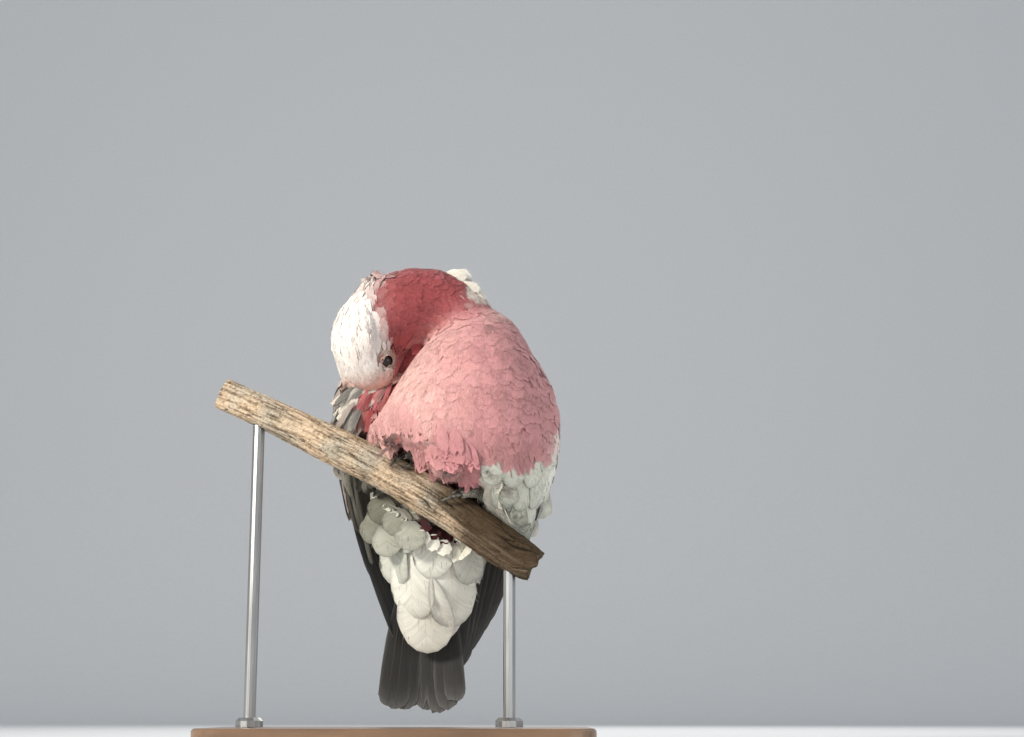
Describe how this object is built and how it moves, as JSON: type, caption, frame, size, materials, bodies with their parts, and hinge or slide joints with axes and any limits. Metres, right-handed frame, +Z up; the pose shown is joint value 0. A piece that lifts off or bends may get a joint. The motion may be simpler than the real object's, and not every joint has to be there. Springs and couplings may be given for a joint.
{
  "type": "galah on a perch",
  "caption": "Life-size still model of a galah that grips a cut length of dead branch and preens with its head bent down under its right wing, held on a plain display stand.",
  "frame": {"origin": "middle of the base's underside", "axes": "+Z up; the bird's breast faces -Y and its right side is towards -X; the branch falls towards +X"},
  "size_m": [0.2535, 0.1594, 0.3246],
  "materials": {
    "pink_feather": "soft matte feathers",
    "white_feather": "soft matte feathers",
    "pale_feather": "soft matte feathers",
    "grey_feather": "matte feathers with pale edges",
    "dark_feather": "matte to satin flight feathers",
    "bill_horn": "smooth horn",
    "toe_skin": "scaly, dry",
    "claw": "satin horn",
    "eye": "wet gloss",
    "dead_wood": "weathered, cracked",
    "base_board": "satin varnish",
    "stand_steel": "brushed"
  },
  "bodies": {
    "root": {"stand_base": "base_board", "stand_rod_left": "stand_steel", "stand_rod_right": "stand_steel", "stand_collar_left": "stand_steel", "stand_collar_right": "stand_steel", "perch_branch": "dead_wood", "bill_upper": "bill_horn", "bill_lower": "bill_horn", "head": "white_feather", "eye_left": "eye", "eye_right": "eye", "crest": "white_feather", "neck": "pink_feather", "trunk": "pink_feather", "foot_left": "toe_skin", "foot_right": "toe_skin", "thigh_left": "pale_feather", "thigh_right": "pale_feather", "undertail_coverts": "pale_feather", "tail": "dark_feather", "wing_left_arm": "grey_feather", "wing_left_flight": "dark_feather", "wing_right_arm": "grey_feather", "wing_right_flight": "dark_feather", "claw_left_inner_front": "claw", "claw_left_outer_front": "claw", "claw_left_inner_back": "claw", "claw_left_outer_back": "claw", "claw_right_inner_front": "claw", "claw_right_outer_front": "claw", "claw_right_inner_back": "claw", "claw_right_outer_back": "claw"}
  },
  "joints": []
}
